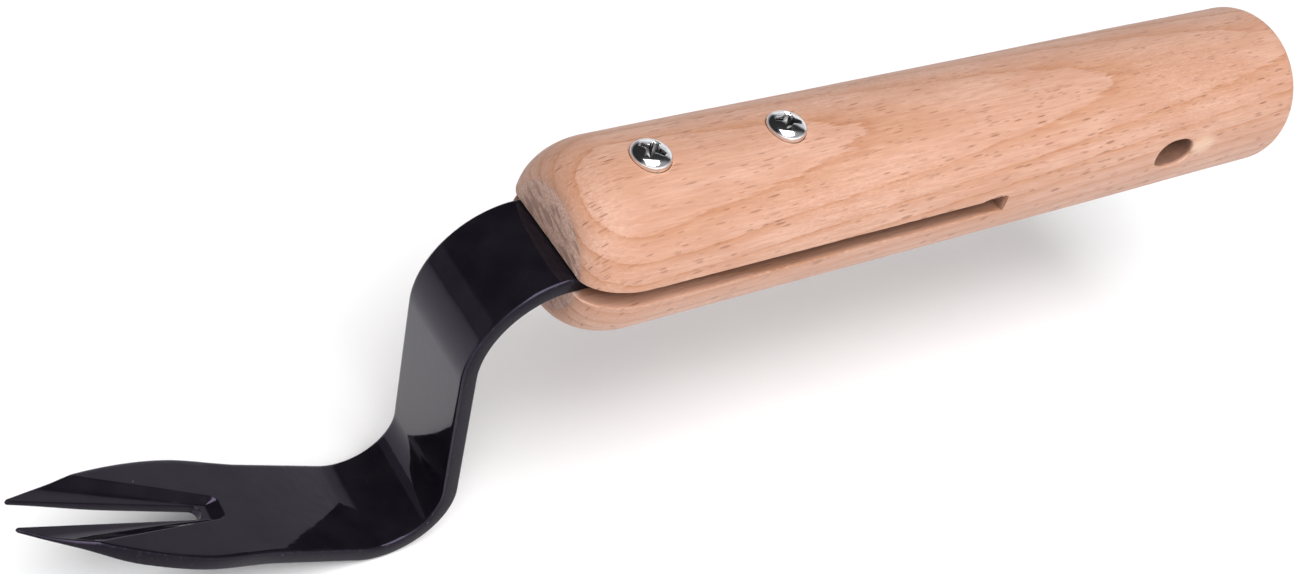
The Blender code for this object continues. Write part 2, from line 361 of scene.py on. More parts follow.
def blade_line():
    """Stations along the bar's top face: x, z, downward angle, distance along the plate."""
    z = BAR_THICKNESS / 2
    line = [(NOSE_X + TANG_LENGTH - d, z, 0.0, None)
            for d in (0.0, 0.0002, 0.0005, 0.004, 0.012, 0.02, 0.03, 0.04, 0.048, 0.053, 0.056)]
    x, angle = NOSE_X, 0.0
    line.append((x, z, angle, None))
    for (turn, radius), steps, straight in ((TOP_BEND, 46, NECK_LENGTH), (FOOT_BEND, 46, 0.0)):
        up = facing(angle)
        centre = (x - up[0] * radius, z - up[1] * radius)
        for step in range(1, steps + 1):
            here = angle + turn * step / steps
            up = facing(here)
            line.append((centre[0] + up[0] * radius, centre[1] + up[1] * radius, here, None))
        angle += turn
        x, z = line[-1][0], line[-1][1]
        if straight:
            ahead = heading(angle)
            start = (x, z)
            for part in range(1, 9):
                run = straight * part / 8
                x, z = start[0] + ahead[0] * run, start[1] + ahead[1] * run
                line.append((x, z, angle, None))
    ahead = heading(angle)
    for along in plate_marks():
        line.append((x + ahead[0] * along, z + ahead[1] * along, angle, along))
    return line


def plate_marks():
    marks = list(np.arange(0.002, SPADE_START, 0.002))
    marks += list(np.arange(SPADE_START, CHANNEL_START - 0.0008, 0.0008))
    marks += list(np.arange(CHANNEL_START - 0.0006, NOTCH_START - 0.0001, 0.00014))
    marks += [NOTCH_START + NOTCH_ROOT_RADIUS * (1 - math.cos(math.pi / 2 * i / 10)) for i in range(11)]
    marks += list(np.arange(NOTCH_START + 0.0016, NOTCH_START + 0.004, 0.0003))
    marks += list(np.arange(NOTCH_START + 0.0044, PLATE_LENGTH - TINE_END - 0.0003, 0.0006))
    marks += [PLATE_LENGTH - TINE_END * math.cos(math.pi / 2 * i / 6) for i in range(6)]
    marks.append(PLATE_LENGTH - 0.00001)
    return [float(m) for m in marks]


def half_width(along):
    if along is None or along < SPADE_START:
        return BAR_WIDTH / 2
    if along < SPADE_WIDEST:
        swell = smooth((along - SPADE_START) / (SPADE_WIDEST - SPADE_START))
        return (BAR_WIDTH + (SPADE_WIDTH - BAR_WIDTH) * swell) / 2
    taper = (along - SPADE_WIDEST) / (PLATE_LENGTH - SPADE_WIDEST)
    return (TIP_WIDTH + (SPADE_WIDTH - TIP_WIDTH) * (1 - taper ** TAPER_POWER)) / 2


def crest_half(along):
    """Half the width across the channel's top edges."""
    return CREST_WIDTH / 2 + CREST_SPREAD * (along - CHANNEL_START - CHANNEL_HEAD_RUN)


def foot_half(along):
    """Half the width of the channel's floor."""
    return FOOT_WIDTH / 2 + FOOT_SPREAD * (along - CHANNEL_START - CHANNEL_HEAD_RUN)


def notch_half(along):
    if along is None or along <= NOTCH_START:
        return 0.0
    run = (along - NOTCH_START) / (PLATE_LENGTH - NOTCH_START)
    side = (NOTCH_BASE_WIDTH + (NOTCH_TIP_WIDTH - NOTCH_BASE_WIDTH) * run) / 2
    near = 1 - min((along - NOTCH_START) / NOTCH_ROOT_RADIUS, 1.0)
    return side * math.sqrt(max(1 - near * near, 0.0))


def sunk(along, side):
    """How far the top lies below the bar's top face: soft crest, hollow foot, round head."""
    if along is None or along < CHANNEL_START - 0.0006:
        return 0.0
    from_crest = (crest_half(along) - side) / (crest_half(along) - foot_half(along))
    from_head = (along - CHANNEL_START) / CHANNEL_HEAD_RUN
    if from_crest < 1 and from_head < 1:
        inside = 1 - math.hypot(1 - from_crest, 1 - from_head)
    else:
        inside = min(from_crest, from_head)
    depth = soft_floor(inside * CHANNEL_DEPTH, 0.0, CREST_SOFTNESS)
    return soft_ceiling(depth, CHANNEL_DEPTH, FOOT_SOFTNESS)


def underside(along, side):
    """Depth of the underside below the bar's top face."""
    if along is None or along <= GRINDING_START:
        return BAR_THICKNESS
    tapered = smooth((along - TINE_TAPER_START) / (PLATE_LENGTH - TINE_TAPER_START))
    ground = smooth((along - GRINDING_START) / GRINDING_LENGTH)
    inner = BAR_THICKNESS - (BAR_THICKNESS - TIP_UNDERSIDE) * tapered
    outer = BAR_THICKNESS - (BAR_THICKNESS - EDGE_UNDERSIDE) * ground
    edge, notch = half_width(along), notch_half(along)
    return inner + (outer - inner) * min(max((side - notch) / (edge - notch), 0.0), 1.0)


TOP_COLUMNS = 34
CORNER_STEPS = 4


def spread_columns(along, inner, outer):
    """Places across half the bar, closer together at the channel's crest and foot."""
    grid = np.linspace(inner, outer, 400)
    density = np.ones_like(grid) / max(outer - inner, 1e-9)
    if along is not None and along > CHANNEL_START - 0.0008:
        for place in (crest_half(along), foot_half(along)):
            density += 900.0 * np.exp(-((grid - place) / 0.0004) ** 2)
    total = np.concatenate([[0.0], np.cumsum((density[1:] + density[:-1]) / 2 * np.diff(grid))])
    return np.interp(np.linspace(0, total[-1], TOP_COLUMNS), total, grid)


def corner(radius, steps):
    """Quarter circle as (how far along, how far down) pairs, both from 0 to radius."""
    turns = [math.pi / 2 * k / steps for k in range(1, steps + 1)]
    return [(radius * math.sin(turn), radius * (1 - math.cos(turn))) for turn in turns]


def half_section(along):
    """Outline of half the bar, from the inner top point round to the inner bottom point."""
    edge, inner = half_width(along), notch_half(along)
    end = 1.0
    if along is not None and along > PLATE_LENGTH - TINE_END:
        into = (along - (PLATE_LENGTH - TINE_END)) / TINE_END
        end = math.sqrt(max(1 - into * into, 0.0004))
        middle = (edge + inner) / 2
        edge, inner = middle + (edge - middle) * end, middle - (middle - inner) * end
    room = underside(along, edge) - sunk(along, edge)
    over = min(TOP_ROUND, 0.42 * room, 0.3 * (edge - inner))
    under = min(UNDER_ROUND, 0.42 * room, 0.3 * (edge - inner))
    notch = min(NOTCH_ROUND, inner * 0.5, 0.2 * (edge - inner)) if inner > 0 else 0.0

    def face(side, lower):
        top, bottom = sunk(along, side), underside(along, side)
        middle = (top + bottom) / 2
        return middle + ((bottom if lower else top) - middle) * end

    top = [(s, face(s, False)) for s in spread_columns(along, inner + notch, edge - over)]
    bottom = [(s, face(s, True)) for s in spread_columns(along, inner + notch, edge - under)]
    outer = [(edge - over + out, top[-1][1] + down * end) for out, down in corner(over, CORNER_STEPS)]
    lower = [(edge - under + out, bottom[-1][1] - down * end)
             for out, down in corner(under, CORNER_STEPS)]
    outer += lower[::-1]
    if inner > 0:
        curve = corner(notch, 3)
        before = [(inner + notch - out, top[0][1] + down * end) for out, down in curve][::-1]
        after = [(inner + notch - out, bottom[0][1] - down * end) for out, down in curve]
    else:
        step = (top[1][0] - top[0][0]) * 0.25
        top[0], bottom[0] = (step * 3, top[0][1]), (step * 3, bottom[0][1])
        before = [(step * k, face(step * k, False)) for k in (0, 1, 2)]
        after = [(step * k, face(step * k, True)) for k in (2, 1, 0)]
    return before + top + outer + bottom[::-1] + after


def build_blade():
    bm = bmesh.new()
    rows = []
    for x, z, angle, along in blade_line():
        up = facing(angle)
        section = half_section(along)
        split = along is not None and along > NOTCH_START
        halves = []
        for sign in (1, -1):
            row = []
            for i, (side, down) in enumerate(section):
                if sign < 0 and not split and i in (0, len(section) - 1):
                    row.append(halves[0][i])
                    continue
                row.append(bm.verts.new((x - up[0] * down, sign * side, z - up[1] * down)))
            halves.append(row)
        rows.append((halves, split))
    for (before, _), (after, split) in zip(rows, rows[1:]):
        for a, b in zip(before, after):
            for i in range(len(a) - 1):
                bm.faces.new((a[i], a[i + 1], b[i + 1], b[i]))
            if split:
                bm.faces.new((a[0], b[0], b[-1], a[-1]))
    near_start, far_start = rows[0][0]
    bm.faces.new(near_start + far_start[::-1][1:-1])
    for tine_end in rows[-1][0]:
        bm.faces.new(tine_end)
    blade = object_from(bm, "coated_blade", 50)
    cutters = []
    for name in SCREW_BOXES:
        x, y, _ = screw_place(name)
        profile = [(-TANG_HOLE_REACH, 0.0), (-TANG_HOLE_REACH, TANG_HOLE_RADIUS),
                   (TANG_HOLE_REACH, TANG_HOLE_RADIUS), (TANG_HOLE_REACH, 0.0)]
        hole = lathe("tang_hole", profile, 40)
        hole.data.transform(Matrix.Translation((x, y, 0.0)))
        cutters.append(hole)
    subtract(blade, cutters)
    tidy(blade, 50, merge=1e-6)
    return blade


# ---------------------------------------------------------------- screws
CROSS_HALF_SPAN, CROSS_HALF_WING, CROSS_CORE = 0.00245, 0.00052, 0.00105
# Faces this far below the head's dome belong to the cross recess.
RECESS_SHADE = 0.00012


def dome_height(radius):
    """Height of the screw head's top over its seat, at this distance from its axis."""
    sine = min(radius / HEAD_RADIUS, 1.0)
    cosine = math.sqrt(1.0 - sine * sine)
    return RIM_HEIGHT + (HEAD_HEIGHT - RIM_HEIGHT) * cosine ** 0.92


def cross_cutter(turn):
    """Phillips recess: four tapering wings round a cone-shaped well."""
    bm = bmesh.new()
    levels = ((0.0004, 1.06), (0.0, 1.0), (-0.0007, 0.86), (-0.0016, 0.58))
    rings = []
    for z, scale in levels:
        ring = []
        span, wing, core = CROSS_HALF_SPAN * scale, CROSS_HALF_WING * scale, CROSS_CORE * scale
        root = CROSS_HALF_WING * (0.55 + 0.45 * scale) + 0.0001
        for quarter in range(4):
            base = quarter * math.pi / 2 + turn
            shape = ((span, -wing), (span, wing), (core, root), (core * 0.80, core * 0.80))
            for px, py in shape:
                ring.append(bm.verts.new((px * math.cos(base) - py * math.sin(base),
                                          px * math.sin(base) + py * math.cos(base), z)))
        rings.append(ring)
    for a, b in zip(rings, rings[1:]):
        for k in range(len(a)):
            n = (k + 1) % len(a)
            bm.faces.new((a[k], a[n], b[n], b[k]))
    tip = bm.verts.new((0.0, 0.0, -0.0021))
    for k in range(len(rings[-1])):
        bm.faces.new((rings[-1][k], rings[-1][(k + 1) % len(rings[-1])], tip))
    bm.faces.new(rings[0])
    return object_from(bm, "cross_cutter")


def build_screw(name, turn):
    x, y, seat = screw_place(name)
    dome = []
    for k in range(1, 15):
        angle = math.pi / 2 * k / 14
        dome.append((dome_height(HEAD_RADIUS * math.sin(angle)), HEAD_RADIUS * math.sin(angle)))
    under = 0.00012
    profile = [(HEAD_HEIGHT, 0.0)] + dome
    profile += [(under, HEAD_RADIUS), (0.0, HEAD_RADIUS - under), (0.0, SHANK_RADIUS)]
    head = lathe(name + "_head", profile + [(-0.0006, SHANK_RADIUS * 0.8), (-0.0006, 0.0)], 96)
    cutter = cross_cutter(turn)
    cutter.data.transform(Matrix.Translation((0.0, 0.0, HEAD_HEIGHT)))
    subtract(head, [cutter])
    tidy(head, 30)
    soften = head.modifiers.new("soften", "BEVEL")
    soften.width, soften.segments, soften.limit_method = 0.00009, 2, "ANGLE"
    soften.angle_limit = math.radians(32)
    soften.use_clamp_overlap = True
    bpy.context.view_layer.update()
    depsgraph = bpy.context.evaluated_depsgraph_get()
    mesh = bpy.data.meshes.new_from_object(head.evaluated_get(depsgraph))
    head.modifiers.clear()
    head.data = mesh
    tidy(head, 45)

    # threaded shank: a ridge winding down a core, ending in a point
    bm = bmesh.new()
    length = SCREW_LENGTH - 0.0004
    count = int(length / (THREAD_PITCH / 5))
    rings = []
    for i in range(count + 1):
        ring = []
        for k in range(THREAD_STEPS):
            s = length * i / count
            phase = (s / THREAD_PITCH - k / THREAD_STEPS) % 1.0
            ridge = max(1 - abs(phase - 0.5) / 0.22, 0.0) * smooth((s - 0.003) / 0.001)
            core = SHANK_RADIUS * (1.0 - 0.26 * smooth((s - 0.002) / 0.001))
            r = core + (SHANK_RADIUS - core) * ridge
            r *= min((length - s) / POINT_LENGTH, 1.0) * 0.97 + 0.03
            angle = 2 * math.pi * k / THREAD_STEPS
            ring.append(bm.verts.new((r * math.cos(angle), r * math.sin(angle), -0.0004 - s)))
        rings.append(ring)
    for a, b in zip(rings, rings[1:]):
        for k in range(THREAD_STEPS):
            n = (k + 1) % THREAD_STEPS
            bm.faces.new((a[k], a[n], b[n], b[k]))
    bm.faces.new(rings[0])
    bm.faces.new(rings[-1])
    shank = object_from(bm, name + "_shank", 35)
    joined = bmesh.new()
    joined.from_mesh(head.data)
    joined.from_mesh(shank.data)
    mesh = bpy.data.meshes.new("nickel_" + name)
    joined.to_mesh(mesh)
    joined.free()
    bpy.data.objects.remove(shank)
    bpy.data.objects.remove(head)
    screw = bpy.data.objects.new("nickel_" + name, mesh)
    bpy.context.scene.collection.objects.link(screw)
    mesh.transform(Matrix.Translation((x, y, seat)))
    mesh.shade_smooth()
    mesh.set_sharp_from_angle(angle=math.radians(40))
    return screw


# ---------------------------------------------------------------- node helpers
class Look:
    """A material's node tree, built by small calls."""

    def __init__(self, name):
        self.material = bpy.data.materials.new(name)
        self.material.use_nodes = True
        self.tree = self.material.node_tree
        self.shader = self.tree.nodes["Principled BSDF"]

    def add(self, kind, **settings):
        node = self.tree.nodes.new(kind)
        for key, value in settings.items():
            setattr(node, key, value)
        return node

    def put(self, socket, value):
        if isinstance(value, bpy.types.NodeSocket):
            self.tree.links.new(value, socket)
        elif isinstance(value, (tuple, list)) and len(value) == 3 and socket.type == "RGBA":
            socket.default_value = (*value, 1.0)
        else:
            socket.default_value = value

    def math(self, operation, a, b=0.0, clamp=False):
        node = self.add("ShaderNodeMath", operation=operation, use_clamp=clamp)
        self.put(node.inputs[0], a)
        self.put(node.inputs[1], b)
        return node.outputs[0]

    def step(self, value, low, high):
        """0 below low, 1 above high, smooth between (also with low above high)."""
        node = self.add("ShaderNodeMapRange", interpolation_type="SMOOTHSTEP", clamp=True)
        flip = low > high
        self.put(node.inputs["Value"], value)
        node.inputs["From Min"].default_value = min(low, high)
        node.inputs["From Max"].default_value = max(low, high)
        node.inputs["To Min"].default_value = 1.0 if flip else 0.0
        node.inputs["To Max"].default_value = 0.0 if flip else 1.0
        return node.outputs["Result"]

    def mix(self, factor, a, b):
        node = self.add("ShaderNodeMix", data_type="RGBA", blend_type="MIX")
        self.put(node.inputs["Factor"], factor)
        self.put(node.inputs[6], a)
        self.put(node.inputs[7], b)
        return node.outputs[2]

    def coords(self):
        """Object coordinates in millimetres."""
        node = self.add("ShaderNodeTexCoord")
        split = self.add("ShaderNodeSeparateXYZ")
        scale = self.add("ShaderNodeVectorMath", operation="SCALE")
        self.put(scale.inputs[0], node.outputs["Object"])
        scale.inputs["Scale"].default_value = 1000.0
        self.put(split.inputs[0], scale.outputs[0])
        return split.outputs

    def vector(self, x, y, z):
        node = self.add("ShaderNodeCombineXYZ")
        for socket, value in zip(node.inputs, (x, y, z)):
            self.put(socket, value)
        return node.outputs[0]

    def noise(self, vector, scale=1.0, detail=2.0, roughness=0.5):
        node = self.add("ShaderNodeTexNoise")
        self.put(node.inputs["Vector"], vector)
        node.inputs["Scale"].default_value = scale
        node.inputs["Detail"].default_value = detail
        node.inputs["Roughness"].default_value = roughness
        return node.outputs["Fac"]

    def cells(self, vector, scale=1.0):
        node = self.add("ShaderNodeTexVoronoi")
        self.put(node.inputs["Vector"], vector)
        node.inputs["Scale"].default_value = scale
        node.inputs["Randomness"].default_value = 1.0
        return node.outputs["Distance"], node.outputs["Color"]

    def bump(self, height, distance, strength):
        node = self.add("ShaderNodeBump")
        node.inputs["Strength"].default_value = strength
        node.inputs["Distance"].default_value = distance
        self.put(node.inputs["Height"], height)
        return node.outputs[0]


# ---------------------------------------------------------------- beech
GRAIN_TILT = math.radians(19.0)
RING_SPACING = 2.8
RING_SHIFT = 84.1
RING_RISE = 0.05
NOSE_MM = NOSE_X * 1000.0


def beech_look():
    look = Look("beech_wood")
    x, y, z = look.coords()[:3]
    sine, cosine = math.sin(GRAIN_TILT), math.cos(GRAIN_TILT)

    def times(a, b):
        return look.math("MULTIPLY", a, b)

    def plus(a, b):
        return look.math("ADD", a, b)

    def stretched(along, deep, wide, scale=1.0, detail=2.0, roughness=0.5):
        """Noise with its own fineness (per mm) along the grain, across it and round the rings."""
        return look.noise(look.vector(times(x, along), times(radial, deep), times(tangent, wide)),
                          scale, detail, roughness)

    radial = plus(times(y, -sine), times(z, cosine))
    tangent = plus(times(y, -cosine), times(z, -sine))

    # growth rings: nearly flat layers that rise towards the butt and wander a little
    slow = stretched(0.020, 0.05, 0.05)
    fine = stretched(0.11, 0.30, 0.30)
    feather = stretched(0.16, 1.6, 2.6, detail=3.0, roughness=0.6)
    layer = plus(radial, times(plus(x, 150.0), -RING_RISE))
    layer = plus(layer, times(look.math("SUBTRACT", slow, 0.5), 1.3))
    layer = plus(layer, times(look.math("SUBTRACT", fine, 0.5), 0.8))
    layer = plus(layer, times(look.math("SUBTRACT", feather, 0.5), 0.55))
    phase = look.math("FRACT", look.math("DIVIDE", plus(layer, RING_SHIFT), RING_SPACING))
    late = times(look.step(phase, 0.45, 0.97), look.step(phase, 1.0, 0.97))
    line = times(look.step(phase, 0.86, 0.965), look.step(phase, 1.0, 0.98))
    broken = look.step(stretched(0.14, 0.2, 0.9, detail=3.0), 0.32, 0.58)
    patch = stretched(0.045, 0.16, 0.16, detail=3.0)

    # fibres along the grain, and the sanded surface's fine tooth
    fibre = stretched(0.16, 2.6, 2.6, detail=4.0, roughness=0.65)
    streak = stretched(0.05, 1.1, 1.1, detail=3.0, roughness=0.6)
    grit = stretched(1.0, 3.2, 3.2, detail=3.0, roughness=0.7)

    # rays: thin lens shapes standing along the grain
    def rays(long, deep, wide, size, least, most, seed):
        tilted = plus(tangent, times(x, 0.035))
        place = look.vector(plus(look.math("DIVIDE", x, long), seed),
                            look.math("DIVIDE", radial, deep), look.math("DIVIDE", tilted, wide))
        distance, tone = look.cells(place)
        split = look.add("ShaderNodeSeparateColor")
        look.put(split.inputs[0], tone)
        depth = plus(0.45, times(split.outputs[1], 0.55))
        lens = look.step(distance, size, size * 0.5)
        return times(times(lens, look.step(split.outputs[0], least, most)), depth)

    fleck = look.math("MAXIMUM", rays(5.4, 3.0, 0.66, 0.29, 0.42, 0.66, 0.0),
                      times(rays(3.2, 2.4, 0.46, 0.29, 0.30, 0.75, 3.7), 0.80))

    # end grain shows on the flat nose and on the butt's flat end
    from_axis = look.math("SQRT", plus(times(y, y), times(z, z)))
    nose = times(look.step(from_axis, 10.9, 10.2), look.step(x, NOSE_MM + 1.6, NOSE_MM + 1.0))
    end = look.math("MAXIMUM", nose, look.step(x, -0.45, -0.10))

    pale, tan, orange = (0.515, 0.300, 0.219), (0.455, 0.240, 0.160), (0.400, 0.180, 0.088)
    colour = look.mix(look.step(patch, 0.32, 0.70), pale, tan)
    colour = look.mix(times(late, plus(0.26, times(look.step(streak, 0.35, 0.65), 0.56))), colour, orange)
    colour = look.mix(times(times(line, broken), 0.64), colour, (0.345, 0.140, 0.066))
    colour = look.mix(times(look.step(streak, 0.58, 0.36), 0.26), colour, (0.43, 0.205, 0.112))
    colour = look.mix(times(look.step(fibre, 0.56, 0.38), 0.42), colour, (0.37, 0.185, 0.115))
    colour = look.mix(times(look.step(fibre, 0.54, 0.74), 0.26), colour, (0.64, 0.42, 0.32))
    colour = look.mix(times(fleck, 0.90), colour, (0.250, 0.105, 0.057))

    # end grain is greyer, speckled by pores and crossed by short dark strokes along the rings
    pores = look.step(look.noise(look.vector(x, y, z), 2.4, 3.0, 0.7), 0.40, 0.62)
    grey = look.mix(pores, (0.400, 0.245, 0.192), (0.560, 0.380, 0.312))
    strokes = look.step(stretched(0.3, 0.85, 0.27, detail=1.0), 0.52, 0.62)
    grey = look.mix(times(strokes, plus(0.34, times(nose, 0.32))), grey, (0.215, 0.125, 0.108))
    colour = look.mix(times(end, 0.88), colour, grey)

    # saw cut and bored hole walls are rougher and darker: partly saw-roughened wood, partly painted shade
    # that deepens into the slot away from the nose and inside the hanging hole; their lips are worn pale
    inside = look.add("ShaderNodeAttribute", attribute_name="cut_wall").outputs["Fac"]
    worn = look.add("ShaderNodeAttribute", attribute_name="worn_lip").outputs["Fac"]
    # painted shade: the slot's walls get darker further in from the open nose, and the hanging hole's walls
    # are darkened more
    slot_depth_shade = look.step(x, NOSE_MM + 6.0, NOSE_MM + 40.0)
    hole_shade = look.step(x, HOLE_X * 1000.0 - 12.0, HOLE_X * 1000.0 - 9.0)
    shade = times(inside, plus(plus(0.30, times(slot_depth_shade, 0.40)), times(hole_shade, 0.32)))
    colour = look.mix(shade, colour, look.mix(streak, (0.120, 0.055, 0.032), (0.260, 0.130, 0.085)))
    front = look.step(x, NOSE_MM + 2.4, NOSE_MM + 0.8)
    rubbed = times(worn, look.math("MAXIMUM", look.step(grit, 0.45, 0.75), front))
    colour = look.mix(times(rubbed, 0.7), colour, (0.72, 0.52, 0.43))

    # a pale bruise where the drill skidded, beside the hole on the near side
    skid_x = look.math("DIVIDE", look.math("SUBTRACT", x, HOLE_X * 1000.0 + 7.6), 4.6)
    skid_z = look.math("DIVIDE", look.math("SUBTRACT", z, HOLE_Z * 1000.0 + 0.6), 3.0)
    skid = look.math("SQRT", plus(times(skid_x, skid_x), times(skid_z, skid_z)))
    skid = plus(skid, times(look.math("SUBTRACT", streak, 0.5), 0.9))
    near_side = look.step(y, 0.0, -2.0)
    bruise = times(times(look.step(skid, 1.0, 0.25), near_side), look.math("SUBTRACT", 1.0, inside))
    colour = look.mix(times(bruise, 0.50), colour, (0.66, 0.48, 0.35))

    look.put(look.shader.inputs["Base Color"], colour)
    rough = plus(0.46, times(fibre, 0.16))
    rough = look.math("ADD", rough, times(look.math("MAXIMUM", end, inside), 0.22), clamp=True)
    look.put(look.shader.inputs["Roughness"], rough)
    look.shader.inputs["Specular IOR Level"].default_value = 0.40
    look.shader.inputs["Sheen Weight"].default_value = 0.10
    look.shader.inputs["Sheen Roughness"].default_value = 0.45
    look.shader.inputs["Sheen Tint"].default_value = (1.0, 0.86, 0.84, 1.0)
    height = look.math("SUBTRACT", times(grit, 0.6), times(fleck, 0.8))
    height = plus(plus(height, times(fibre, 0.8)), times(times(strokes, end), -1.0))
    look.put(look.shader.inputs["Normal"], look.bump(height, 0.00008, 0.9))
    return look.material


def mark_handle(handle):
    """Point attributes for the wood: 1 inside the cuts, and 1 along their lips."""
    mesh = handle.data
    count = len(mesh.vertices)
    co = np.zeros(count * 3)
    mesh.vertices.foreach_get("co", co)
    co = co.reshape(-1, 3)
    radius = np.hypot(co[:, 1], co[:, 2])
    skin = np.array([handle_radius(x) for x in co[:, 0]])
    depth = np.minimum(skin - radius, co[:, 0] - NOSE_X)
    depth = np.minimum(depth, -co[:, 0])
    inside = np.clip((depth - 0.00045) / 0.0006, 0, 1)
    worn = np.clip(1 - np.abs(depth - 0.00022) / 0.00018, 0, 1)
    for name, values in (("cut_wall", inside), ("worn_lip", worn)):
        layer = mesh.attributes.new(name, "FLOAT", "POINT")
        layer.data.foreach_set("value", values.astype(np.float32))


# ---------------------------------------------------------------- black coat and nickel
def coat_look(name, specular, least_rough):
    """Gloss black coat; cut edges carry less of it, so they are duller."""
    look = Look(name)
    x, y, z = look.coords()[:3]
    place = look.vector(x, y, z)
    peel = look.noise(place, 0.55, 2.0, 0.4)
    mottle = look.noise(place, 0.16, 3.0, 0.5)
    base = look.mix(look.step(mottle, 0.3, 0.7), (0.0052, 0.0046, 0.0068), (0.0082, 0.0074, 0.0100))
    distance, tone = look.cells(place, 0.42)
    split = look.add("ShaderNodeSeparateColor")
    look.put(split.inputs[0], tone)
    dust = look.math("MULTIPLY", look.step(distance, 0.060, 0.030), look.step(split.outputs[0], 0.90, 0.94))
    worn = look.add("ShaderNodeAttribute", attribute_name="worn_edge").outputs["Fac"]
    rub = look.math("MULTIPLY", worn, look.step(look.noise(place, 1.4, 4.0, 0.65), 0.54, 0.70))
    base = look.mix(look.math("MULTIPLY", rub, 0.5), base, (0.040, 0.037, 0.042))
    base = look.mix(look.math("MULTIPLY", dust, 0.7), base, (0.20, 0.19, 0.20))
    look.put(look.shader.inputs["Base Color"], base)
    smudge = look.noise(place, 0.30, 3.0, 0.55)
    rough = look.math("ADD", least_rough, look.math("MULTIPLY", look.step(smudge, 0.45, 0.75), 0.05))
    rough = look.math("ADD", rough, look.math("MULTIPLY", worn, 0.32))
    rough = look.math("ADD", rough, look.math("MULTIPLY", look.math("MAXIMUM", rub, dust), 0.20))
    look.put(look.shader.inputs["Roughness"], rough)
    look.shader.inputs["IOR"].default_value = 1.48
    look.shader.inputs["Specular IOR Level"].default_value = specular
    look.shader.inputs["Specular Tint"].default_value = (0.80, 0.66, 1.0, 1.0)
    look.put(look.shader.inputs["Normal"], look.bump(peel, 0.00004, 0.35))
    return look.material


# Faces that point this much along the blade's width count as its sheared sides.
SIDEWAYS = 0.90


def mark_blade(blade):
    """The bar's sheared sides take the duller coat; the rounded long edges are rubbed."""
    mesh = blade.data
    count = len(mesh.vertices)
    normal, co = np.zeros(count * 3), np.zeros(count * 3)
    mesh.vertices.foreach_get("normal", normal)
    mesh.vertices.foreach_get("co", co)
    sideways = np.abs(normal.reshape(-1, 3)[:, 1])
    outward = normal.reshape(-1, 3)[:, 1] * co.reshape(-1, 3)[:, 1] > 0
    worn = np.clip(1 - np.abs(sideways - 0.72) / 0.35, 0, 1) * outward
    layer = mesh.attributes.new("worn_edge", "FLOAT", "POINT")
    layer.data.foreach_set("value", worn.astype(np.float32))
    for face in mesh.polygons:
        face.material_index = 1 if abs(face.normal.y) > SIDEWAYS else 0


def nickel_look(name, dark, light, least_rough):
    look = Look(name)
    x, y, z = look.coords()[:3]
    cloud = look.noise(look.vector(x, y, z), 0.8, 3.0, 0.5)
    lines = look.vector(look.math("MULTIPLY", x, 6.0), look.math("MULTIPLY", y, 0.7), z)
    scratch = look.noise(lines, 1.5, 3.0, 0.6)
    look.put(look.shader.inputs["Base Color"], look.mix(look.step(cloud, 0.3, 0.7), dark, light))
    rough = look.math("ADD", least_rough, look.math("MULTIPLY", look.step(scratch, 0.4, 0.8), 0.10))
    look.put(look.shader.inputs["Roughness"], rough)
    look.shader.inputs["Metallic"].default_value = 1.0
    look.put(look.shader.inputs["Normal"], look.bump(scratch, 0.00001, 0.3))
    return look.material


def mark_screw(screw, name):
    """The cross recess's faces take the second look: dark, dull nickel that is painted shade in the recess,
    partly also dirt.
    """
    x, y, seat = screw_place(name)
    for face in screw.data.polygons:
        radius = math.hypot(face.center.x - x, face.center.y - y)
        height = face.center.z - seat
        deep = dome_height(radius) - height > RECESS_SHADE
        face.material_index = 1 if radius < CROSS_HALF_SPAN and deep and height > 0 else 0


# ---------------------------------------------------------------- floor, light, camera
FLOOR_REACH, FLOOR_GAP = 3.0, 0.0004
LIGHT_TARGET = (-0.06, 0.0, 0.0)

# Each light: name, direction from the target, distance, side length, power.
LIGHTS = (
    ("key", (-0.10, -0.36, 0.93), 1.1, 0.95, 16.5),
    ("front", (-0.38, -0.66, 0.65), 1.7, 1.25, 12.0),
)

# The camera fitted to the photo: focal length and width in pixels, place and axes.
FOCAL_LENGTH, PHOTO_WIDTH, SENSOR_WIDTH = 1668.0, 1299.0, 36.0
CAMERA_PLACE = (-0.286528, -0.156872, 0.174213)
CAMERA_RIGHT = (0.834252, -0.506141, 0.218734)
CAMERA_AHEAD = (0.506682, 0.547247, -0.666179)


def build_floor():
    level = CAD_BOX[0][2] - FLOOR_GAP
    bm = bmesh.new()
    corners = ((-1, -1), (1, -1), (1, 1), (-1, 1))
    bm.faces.new([bm.verts.new((x * FLOOR_REACH, y * FLOOR_REACH, level)) for x, y in corners])
    floor = object_from(bm, "floor")
    look = Look("pale_floor")
    x, y, z = look.coords()[:3]
    grain = look.noise(look.vector(x, y, z), 0.05, 3.0, 0.5)
    look.put(look.shader.inputs["Base Color"], look.mix(grain, (0.86, 0.86, 0.865), (0.88, 0.88, 0.885)))
    look.shader.inputs["Roughness"].default_value = 0.75
    look.shader.inputs["Specular IOR Level"].default_value = 0.2
    floor.data.materials.append(look.material)


def area_light(name, direction, distance, size, power):
    light = bpy.data.lights.new(name, "AREA")
    light.energy = power
    light.shape = "RECTANGLE"
    light.size = size
    light.size_y = size
    made = bpy.data.objects.new(name, light)
    bpy.context.scene.collection.objects.link(made)
    way = Vector(direction).normalized()
    made.location = Vector(LIGHT_TARGET) + way * distance
    made.rotation_euler = way.to_track_quat("Z", "Y").to_euler()


